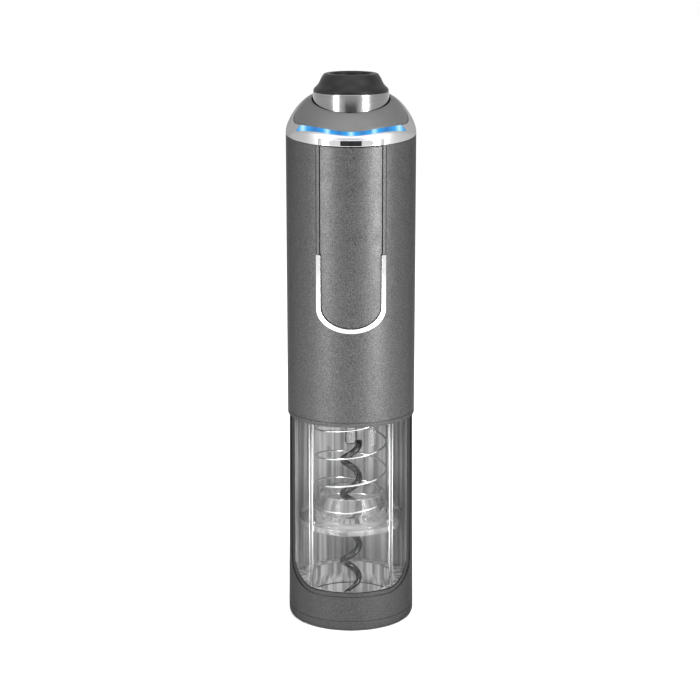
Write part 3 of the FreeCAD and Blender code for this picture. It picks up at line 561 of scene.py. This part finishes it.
# %% Rails
RAIL_ANGLES = (50.0, 130.0, 230.0, 310.0)
RAIL_HALF = 0.8
rails = bmesh.new()
for angle in RAIL_ANGLES:
    back = TUBE_WALL - TUBE_R
    bar = box((-RAIL_HALF, back + 0.02, tube_low + 0.2), (RAIL_HALF, back + 1.2, tube_high - 0.2))
    soften(bar, 0.25)
    turn_mesh(bar, angle)
    join_mesh(rails, bar)
finish_piece(as_object("tube_rails", rails), clear_plastic, "casing")

# %% [markdown]
# ## The upper casing
# The casing is one turned tube whose top is cut by a slanted plane. The front opening is a slot with
# an elliptical lower end for the chrome U, and narrower above it for the paddle. Two fine grooves
# run up beside the paddle, and the back has a round hole for the charging socket.

# %% Body shell
SEAM_Z = 225.6
SEAM_SLOPE = 0.093
SEAM_GAP = 0.2
TRIM_BEND = 10.3
PADDLE_HALF = 13.5
SLOT_HALF = PADDLE_HALF + 0.45


def u_outline(half, bottom, bend, top, upper_half=None, step_height=None):
    """Straight sides and an elliptical lower end; the sides may step to another width."""
    count = 24
    arc = []
    for step in range(count + 1):
        angle = math.pi * step / count
        arc.append((-half * math.cos(angle), bottom + bend * (1 - math.sin(angle))))
    if upper_half is None:
        return arc + [(half, top), (-half, top)]
    right = [(half, step_height), (upper_half, step_height + 0.3), (upper_half, top)]
    return arc + right + [(-x, height) for x, height in reversed(right)]


def cut_at_seam(piece, drop, keep_below=True, whole=True):
    """Cuts a piece with the slanted seam plane and closes the cut, which is a ring on a whole tube."""
    bm = bmesh.new()
    bm.from_mesh(piece.data)
    result = bmesh.ops.bisect_plane(bm, geom=list(bm.verts) + list(bm.edges) + list(bm.faces), dist=1e-7,
                                    plane_co=(0, 0, (SEAM_Z - drop) * MM), plane_no=(0, -SEAM_SLOPE, 1),
                                    clear_outer=keep_below, clear_inner=not keep_below)
    cut = [item for item in result["geom_cut"] if isinstance(item, bmesh.types.BMEdge)]
    rim = [edge for edge in cut if edge.is_boundary]
    if whole:
        bmesh.ops.bridge_loops(bm, edges=rim)
    else:
        bmesh.ops.edgeloop_fill(bm, edges=rim)
    bmesh.ops.recalc_face_normals(bm, faces=list(bm.faces))
    bm.to_mesh(piece.data)
    bm.free()


# %% Shell of the body
body = as_object("body_shell_skin", turned([
    (BODY_R - WALL, SPLIT), (BODY_R - 0.55, SPLIT), (BODY_R - 0.15, SPLIT + 0.15), (BODY_R, SPLIT + 0.55),
    (BODY_R, SPLIT + 1.9), (BODY_R - 0.22, SPLIT + 2.05), (BODY_R - 0.22, SPLIT + 2.25),
    (BODY_R, SPLIT + 2.4), (BODY_R, RAW_TOP), (BODY_R - WALL, RAW_TOP)]))
cut_at_seam(body, SEAM_GAP)
carve(body, prism(u_outline(TRIM_HALF + 0.1, TRIM_BOTTOM - 0.1, TRIM_BEND, TRIM_TOP + 0.1)))
carve(body, prism(wall(-SLOT_HALF, SLOT_HALF, TRIM_TOP - 1, OVER_TOP)))
groove_depth = -math.sqrt(BODY_R ** 2 - TRIM_HALF ** 2) + 0.3
GROOVE_HALF = 0.18
for side in (-1, 1):
    groove_x = side * (TRIM_HALF - 0.15)
    groove = box((groove_x - GROOVE_HALF, -40, TRIM_TOP), (groove_x + GROOVE_HALF, groove_depth, OVER_TOP))
    carve(body, groove)

# %% Socket hole
SOCKET_R = 0.0032
SOCKET_TOOL = 0.02
socket = bmesh.new()
socket_low, socket_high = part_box("charging_socket")
socket_place = Matrix.Translation((0, 0.03, (socket_low.z + socket_high.z) / 2))
bmesh.ops.create_cone(socket, cap_ends=True, segments=48, radius1=SOCKET_R, radius2=SOCKET_R,
                      depth=SOCKET_TOOL, matrix=socket_place @ Matrix.Rotation(math.pi / 2, 4, "X"))
carve(body, socket)
round_edges(body, 0.16)
finish_piece(body, body_paint, "casing", ["body_shell"])

# %% [markdown]
# ## The paddle and its chrome U
# The paddle is a piece of the same tube, cut to its own outline with an even gap all round. The U
# is cut from a slightly larger ring, so it stands a hair proud and its round edges shine.

# %% Paddle
TRIM_WIDTH = 1.95
PADDLE_LOW_HALF = 13.05
PADDLE_BOTTOM = TRIM_BOTTOM + TRIM_WIDTH + 0.45
paddle = as_object("paddle_skin", turned(wall(27.0, BODY_R, TRIM_BOTTOM - 4, RAW_TOP)))
cut_at_seam(paddle, SEAM_GAP + 0.25)
paddle_edge = u_outline(PADDLE_LOW_HALF, PADDLE_BOTTOM, TRIM_BEND - 1, OVER_TOP, PADDLE_HALF, TRIM_TOP + 0.3)
carve(paddle, prism(paddle_edge), "INTERSECT")
round_edges(paddle, 0.3, 3)
finish_piece(paddle, body_paint, "paddle", ["front_paddle"])

# %% Chrome U
trim = as_object("paddle_trim_skin", turned(wall(27.6, BODY_R + 0.22, TRIM_BOTTOM - 4, TRIM_TOP)))
carve(trim, prism(u_outline(TRIM_HALF, TRIM_BOTTOM, TRIM_BEND, OVER_TOP)), "INTERSECT")
inner_bend = TRIM_BEND - TRIM_WIDTH / 2
carve(trim, prism(u_outline(TRIM_HALF - TRIM_WIDTH, TRIM_BOTTOM + TRIM_WIDTH, inner_bend, OVER_TOP)))
round_edges(trim, 0.35, 3)
finish_piece(trim, bright_chrome, "casing", ["paddle_trim"])

# %% [markdown]
# ## The slanted head
# The head's top is one smooth surface that leans forward and falls off towards its rim. Rings and
# plates are spun flat, with heights measured from that surface, and then each point is lifted onto
# it. The ring, the plate and the lit strip share it, so they line up by themselves.

# %% The crown surface
CROWN_R = 25.4
CROWN_Z = 240.3
CROWN_SLOPE = 0.27
SIDE_DROP = 8.3
SIDE_POWER = 3.4
END_DROP = 4.26
END_POWER = 2.0


def crown_height(x, y):
    """Height of the head's surface, in millimetres."""
    side = SIDE_DROP * (abs(x) / CROWN_R) ** SIDE_POWER
    end = END_DROP * (abs(y) / CROWN_R) ** END_POWER
    return CROWN_Z + CROWN_SLOPE * y - side - end


def plate_height(x, y):
    """The plate flattens towards the collar, into a plane that leans forward."""
    plane = CROWN_Z + 1.0 + (CROWN_SLOPE if y < 0 else 0.12) * y
    share = (CROWN_R - math.hypot(x, y)) / (CROWN_R - COLLAR_R)
    share = min(1.0, max(0.0, share)) ** 1.15
    return crown_height(x, y) * (1 - share) + plane * share


def drape(bm, height=crown_height):
    """Lifts every point by the surface's height over it."""
    for vert in bm.verts:
        vert.co.z += height(vert.co.x / MM, vert.co.y / MM) * MM
    return bm


def stations(first, last, count, offset):
    """Evenly spaced points along a radius at one offset from the crown."""
    return [(first + (last - first) * step / count, offset) for step in range(count + 1)]


print("crown height at the front", round(crown_height(0, -CROWN_R), 2), "and back",
      round(crown_height(0, CROWN_R), 2))

# %% [markdown]
# The silver ring reaches from the plate to the casing, and down to the seam. A slot in its front
# holds the lit strip, and a recess below it holds the chrome cap.

# %% Bezel
RIM_IN = CROWN_R + 0.12
SKIRT = -40.0
ring_line = [(RIM_IN, SKIRT), (RIM_IN, -0.3), (RIM_IN + 0.1, -0.1)]
ring_line += stations(RIM_IN + 0.3, BODY_R - 0.45, 7, 0.0)
ring_line += [(BODY_R - 0.15, -0.1), (BODY_R, -0.4), (BODY_R, SKIRT)]
bezel = as_object("bezel_skin", drape(turned(ring_line, 360)))
cut_at_seam(bezel, 0.0, False)

# %% Slot and recess in the bezel
SLOT_TURN = math.radians(60.0)
SLOT_FLOOR = 223.5
FRONT = -math.pi / 2
STRIP_OUT = CROWN_R + 2.8
slot = wall(CROWN_R - 1, STRIP_OUT, SLOT_FLOOR, OVER_TOP)
carve(bezel, turned(slot, 120, 2 * SLOT_TURN, FRONT - SLOT_TURN))
CAP_TURN = math.radians(29.0)
recess = wall(BODY_R - 1.2, BODY_R + 2, 210, SEAM_Z + 0.2)
carve(bezel, turned(recess, 60, 2 * CAP_TURN, FRONT - CAP_TURN))
round_edges(bezel, 0.12)
finish_piece(bezel, satin_silver, "casing", ["trim_bezel"])

# %% Chrome cap
cap_turn = math.radians(28.6)
cap_wall = wall(BODY_R - 1.1, BODY_R + 0.1, 215, SEAM_Z + 0.08)
cap = as_object("front_cap_skin", turned(cap_wall, 60, 2 * cap_turn, FRONT - cap_turn))
cut_at_seam(cap, 0.0, False, False)
round_edges(cap, 0.25, 3)
finish_piece(cap, bright_chrome, "casing", ["front_cap"])

# %% [markdown]
# The plate is a wide ring on the same surface. Its inner and outer rims are rounded, because the
# rounded inner rim gives the two small glints under the collar. The lit strip is three short arcs
# of one outline, with a narrow gap between them.

# %% Top plate
PLATE_HOLE = COLLAR_R + 0.5
PLATE_R = CROWN_R - 0.1
inner_rim = [(PLATE_HOLE, -2.0), (PLATE_HOLE, -0.45), (PLATE_HOLE + 0.12, -0.14), (PLATE_HOLE + 0.4, 0.0)]
outer_rim = [(PLATE_R - 0.35, -0.05), (PLATE_R - 0.1, -0.2), (PLATE_R, -0.5), (PLATE_R, -2.0)]
plate_line = inner_rim + stations(PLATE_HOLE + 0.9, PLATE_R - 0.7, 10, 0.0) + outer_rim
plate = drape(turned(plate_line, 360), plate_height)
finish_piece(as_object("top_plate_skin", plate), plate_gray, "casing", ["top_plate"], 60.0)

# %% Lit strip
strip_line = [(CROWN_R + 0.05, -3.0), (CROWN_R + 0.05, -0.2)]
strip_line += stations(CROWN_R + 0.25, STRIP_OUT - 0.3, 3, -0.1)
strip_line += [(STRIP_OUT - 0.1, -0.25), (STRIP_OUT - 0.1, -3.0)]
strip = bmesh.new()
for centre, half in ((0.0, 18.4), (-39.4, 20.0), (39.4, 20.0)):
    part = turned(strip_line, 40, math.radians(2 * half), FRONT + math.radians(centre - half))
    join_mesh(strip, drape(part))
finish_piece(as_object("light_guide_skin", strip), blue_light, "casing", ["led_light_guide"])

# %% [markdown]
# ## Collar and nozzle
# The collar is a short steel tube with a small chamfer at its rim. The rubber nozzle sits on it:
# wide at the bottom, drawn in with a hollow curve, and closed by a thick round lip.

# %% Collar
collar_low = low_mm("steel_collar")
collar = soften(turned(wall(COLLAR_R - 1.25, COLLAR_R, collar_low, COLLAR_TOP)), 0.28)
finish_piece(as_object("collar_skin", collar), collar_steel, "casing", ["steel_collar"], 50.0)

# %% Nozzle
HOLE_R = 9.28
nozzle_low = low_mm("vacuum_nozzle")
nozzle = turned([
    (HOLE_R, nozzle_low), (16.55, nozzle_low), (16.7, nozzle_low + 0.2), (16.65, nozzle_low + 0.9),
    (16.2, nozzle_low + 1.6), (15.3, nozzle_low + 2.4), (14.55, nozzle_low + 3.3), (14.0, nozzle_low + 4.3),
    (13.55, nozzle_low + 5.3), (13.1, nozzle_low + 6.2), (12.6, nozzle_low + 6.95), (12.0, TOP - 0.3),
    (11.3, TOP - 0.06), (10.7, TOP), (10.0, TOP - 0.05), (9.5, TOP - 0.35), (HOLE_R, TOP - 1.0)])
nozzle = as_object("nozzle_skin", nozzle)
finish_piece(nozzle, nozzle_rubber, "casing", ["vacuum_nozzle"], 60.0)

# %% [markdown]
# ## The rubber sleeve under the plunger
# The plunger returns on a ribbed rubber sleeve. Its wall follows a wave with five folds; on the
# real opener it flattens as the plunger goes down.

# %% Plunger sleeve
RIBBED_LOW = low_mm("plunger_spring")
RIBBED_HIGH = high_mm("plunger_spring")
RIBBED_R = 5.95
RIB_DEPTH = 0.65
RIBBED_WALL = 0.9
FOLDS = 5
FOLD_STEPS = 16
wave = []
for step in range(FOLDS * FOLD_STEPS + 1):
    height = RIBBED_LOW + (RIBBED_HIGH - RIBBED_LOW) * step / (FOLDS * FOLD_STEPS)
    wave.append((RIBBED_R - RIB_DEPTH * math.cos(TURN * step / FOLD_STEPS), height))
ribbed = turned(wave + [(radius - RIBBED_WALL, height) for radius, height in reversed(wave)], 96)
ribbed = as_object("plunger_sleeve_skin", ribbed)
finish_piece(ribbed, valve_rubber, "casing", ["plunger_spring"], 60.0)
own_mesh(ribbed)

# %% [markdown]
# ## The bottle guide
# A clear cup on a wide flange. Its outline is turned, and four notches are carved in the flange
# where the tube's rails pass.

# %% Bottle guide
guide_low = low_mm("bottle_guide")
guide_top = high_mm("bottle_guide")
GUIDE_R = 24.1
guide_line = [
    (16.0, guide_low), (17.2, guide_low), (17.2, guide_low + 2.5), (23.0, guide_low + 2.5),
    (23.0, guide_low), (GUIDE_R, guide_low), (GUIDE_R, guide_low + 3.8), (23.7, guide_low + 4.2),
    (17.6, guide_low + 6.6), (15.5, guide_low + 6.9), (14.6, guide_top), (13.3, guide_top),
    (13.7, guide_low + 5.1), (16.0, guide_low + 4.9)]
guide = as_object("bottle_guide_skin", soften(turned(guide_line, 160), 0.22, 2, 25.0))
for angle in RAIL_ANGLES:
    notch = box((-1.4, -TUBE_R, guide_low - 1), (1.4, -TUBE_R + TUBE_WALL + 1.9, guide_top))
    turn_mesh(notch, angle)
    carve(guide, notch)
finish_piece(guide, frosted_plastic, "guide", ["bottle_guide"])

# %% [markdown]
# ## Spring and worm
# Both are a round wire wound in a helix. The spin operator also climbs while it turns, which makes
# a helix in one call. The spring's end turns lie closer, as they are ground flat on a real one. The
# worm's wire thins to a point over a little more than its last half turn.

# %% Guide spring
SPRING_R = 16.3
SPRING_WIRE = 0.45
SPRING_LOW = 51.6
SPRING_HIGH = high_mm("clear_tube") - 0.1
SPRING_PITCH = 13.15
SPRING_TURN = -26
END_PITCH = 1.1
END_TURNS = 0.8


def wire_ring(bm, radius, wire, height, pitch, sides):
    """The first section of a wound wire, square to its helix."""
    lean = math.atan2(pitch, TURN * radius)
    place = Matrix.Translation((radius * MM, 0, height * MM)) @ Matrix.Rotation(math.pi / 2 + lean, 4, "X")
    return bmesh.ops.create_circle(bm, cap_ends=True, segments=sides, radius=wire * MM, matrix=place)["verts"]


def wind(bm, geometry, turns, pitch, steps_per_turn):
    """Spins geometry upwards and returns the last section."""
    steps = max(1, round(abs(turns) * steps_per_turn))
    climb = Vector((0, 0, turns * pitch * MM / steps))
    result = bmesh.ops.spin(bm, geom=geometry, cent=(0, 0, 0), axis=(0, 0, 1), dvec=climb, angle=TURN * turns,
                            steps=steps)
    return result["geom_last"]


spring = bmesh.new()
wire_ring(spring, SPRING_R, SPRING_WIRE, SPRING_LOW, 1.2, 12)
active = (SPRING_HIGH - SPRING_LOW - 2 * END_TURNS * END_PITCH) / SPRING_PITCH
section = wind(spring, list(spring.faces), END_TURNS, END_PITCH, 72)
section = wind(spring, section, active, SPRING_PITCH, 72)
wind(spring, section, END_TURNS, END_PITCH, 72)
bmesh.ops.recalc_face_normals(spring, faces=list(spring.faces))
turn_mesh(spring, SPRING_TURN)
spring = finish_piece(as_object("guide_spring_skin", spring), spring_steel, "casing",
                      ["guide_spring"], 60.0)
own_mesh(spring)

# %% Worm
WORM_R = 3.8
WORM_WIRE = 1.55
WORM_PITCH = 16.5
WORM_LOW = 8.0
WORM_HIGH = 82.0
WORM_TURN = 50
TIP_TURNS = 0.6
TIP_STEPS = 36
TIP_WIRE = 0.15
worm = bmesh.new()
wire_ring(worm, WORM_R, WORM_WIRE, WORM_HIGH, WORM_PITCH, 20)
section = wind(worm, list(worm.faces), TIP_TURNS - (WORM_HIGH - WORM_LOW) / WORM_PITCH, WORM_PITCH, 60)
wire = WORM_WIRE
for step in range(1, TIP_STEPS + 1):
    section = wind(worm, section, -TIP_TURNS / TIP_STEPS, WORM_PITCH, 1)
    ring = [item for item in section if isinstance(item, bmesh.types.BMVert)]
    middle = sum((vert.co for vert in ring), Vector()) / len(ring)
    thinner = max(TIP_WIRE, WORM_WIRE * math.cos(math.pi / 2 * step / TIP_STEPS))
    bmesh.ops.scale(worm, verts=ring, vec=[thinner / wire] * 3, space=Matrix.Translation(-middle))
    wire = thinner
bmesh.ops.recalc_face_normals(worm, faces=list(worm.faces))
turn_mesh(worm, 360 * ((WORM_HIGH - WORM_LOW) / WORM_PITCH - TIP_TURNS) + WORM_TURN)
finish_piece(as_object("worm_skin", worm), worm_steel, "drive_output", ["worm"], 60.0)

# %% [markdown]
# The chuck that holds the worm is a bar with eight flats, so it is turned in eight steps only.

# %% Worm chuck
CHUCK_R = 2.9
CHUCK_TOP = 101.0
BORE_R = 0.6
chuck_low = WORM_HIGH - 0.5
chuck = turned([
    (BORE_R, chuck_low), (CHUCK_R - 0.7, chuck_low), (CHUCK_R, chuck_low + 0.7),
    (CHUCK_R, CHUCK_TOP), (BORE_R, CHUCK_TOP)], 8)
soften(chuck, 0.12, 2)
finish_piece(as_object("chuck_skin", chuck), pin_steel, "drive_output", ["worm_chuck"], 20.0)

# %% [markdown]
# ## The pieces that stay as they are
# Gears, motors, cells, screws and boards keep the shapes of the imported model. Each gets the finish
# that its own record names, so the parts inside look right in a cutaway or an exploded view too. The
# neck collar instead gets the lighter lining finish, as painted light at the bottom of the chamber.

# %% Finishes for the inner pieces
kept = 0
for entry in frame["record"]["subparts"]:
    node = frame["nodes"][entry["node"]]
    # The neck collar's lighter lining finish is painted light.
    finish = "painted_light_lining" if entry["node"] == "neck_collar" else entry["material_slot"]
    for holder in node.material_slots:
        holder.material = finishes[finish]
    kept += 0 if node.hide_render else 1
print("pieces kept from the packed model:", kept)

# %% [markdown]
# ## Floor and light
# The opener stands on a plain white floor, under an even white sky. The floor is wide enough to meet
# the sky far behind the object. The plain colour transform keeps both of them white.

# %% Floor and world
FLOOR_HALF = 15.0
SKY_STRENGTH = 1.03
floor_mesh = bmesh.new()
bmesh.ops.create_grid(floor_mesh, x_segments=2, y_segments=2, size=FLOOR_HALF)
floor = as_object("floor", floor_mesh)
floor_white = principled("floor_white", (0.97, 0.97, 0.97), 0.7, Specular_IOR_Level=0.1)
vary(floor_white, noise(floor_white, 30.0, 2.0), "Roughness", 0.65, 0.75)
floor.data.materials.append(floor_white)

bpy.context.scene.view_settings.view_transform = "Standard"
world = bpy.data.worlds.new("studio")
bpy.context.scene.world = world
world.use_nodes = True
world.node_tree.nodes["Background"].inputs["Color"].default_value = (1.0, 1.0, 1.0, 1.0)
world.node_tree.nodes["Background"].inputs["Strength"].default_value = SKY_STRENGTH
print("floor of", 2 * FLOOR_HALF, "m, sky strength", SKY_STRENGTH)

# %% [markdown]
# Two tall soft lamps, one on each side, draw the two long bands down the casing and the collar, and
# a soft lamp overhead lights the slanted head.

# %% Lamps
def softbox(name, place, target, width, height, power):
    """A rectangular lamp that faces a target; sizes are in metres and power in watts."""
    lamp = bpy.data.lights.new(name, "AREA")
    lamp.shape = "RECTANGLE"
    lamp.size = width
    lamp.size_y = height
    lamp.energy = power
    stand = bpy.data.objects.new(name, lamp)
    stand.location = place
    stand.rotation_euler = (Vector(target) - Vector(place)).to_track_quat("-Z", "Y").to_euler()
    bpy.context.scene.collection.objects.link(stand)


middle_height = TOP * MM / 2
for side, power in ((-1, 5.0), (1, 8.0)):
    softbox("side lamp", (side * 0.5, -0.5, 0.38), (0, 0, middle_height), 0.16, 0.8, power)
softbox("top lamp", (0, -0.25, 1.1), (0, 0, middle_height), 0.8, 0.8, 6.0)

# %% [markdown]
# A studio is dark behind its camera, and polished metal shows that as one dark band. A dark card
# does the same here. It is kept out of the camera's sight, as lamps are.

# %% Dark card
CARD_LOW = (-300, -905, 20)
CARD_HIGH = (300, -900, 285)
card = as_object("dark_card", box(CARD_LOW, CARD_HIGH))
card_black = principled("card_black", (0.01, 0.01, 0.01), 0.9)
vary(card_black, noise(card_black, 50.0, 2.0), "Roughness", 0.85, 0.95)
card.data.materials.append(card_black)
card.visible_camera = False
print("card of", CARD_HIGH[0] - CARD_LOW[0], "by", CARD_HIGH[2] - CARD_LOW[2], "mm")

# %% [markdown]
# ## Camera
# The camera stands 0.82 m in front of the opener, a little above its top, and looks down by about
# 14 degrees. That shows the slanted head's surface and the ellipses of the seams.

# %% Camera
CAMERA_PITCH = 13.58
CAMERA_LENS = 94.68
CAMERA_PLACE = (-0.00045, -0.820, 0.324)
camera_data = bpy.data.cameras.new("camera")
camera_data.lens = CAMERA_LENS
camera_data.sensor_width = 36.0
camera_data.clip_start = 0.01
camera = bpy.data.objects.new("camera", camera_data)
camera.location = CAMERA_PLACE
camera.rotation_euler = (math.radians(90 - CAMERA_PITCH), 0, 0)
bpy.context.scene.collection.objects.link(camera)
bpy.context.scene.camera = camera
print("camera at", tuple(round(value, 3) for value in camera.location))
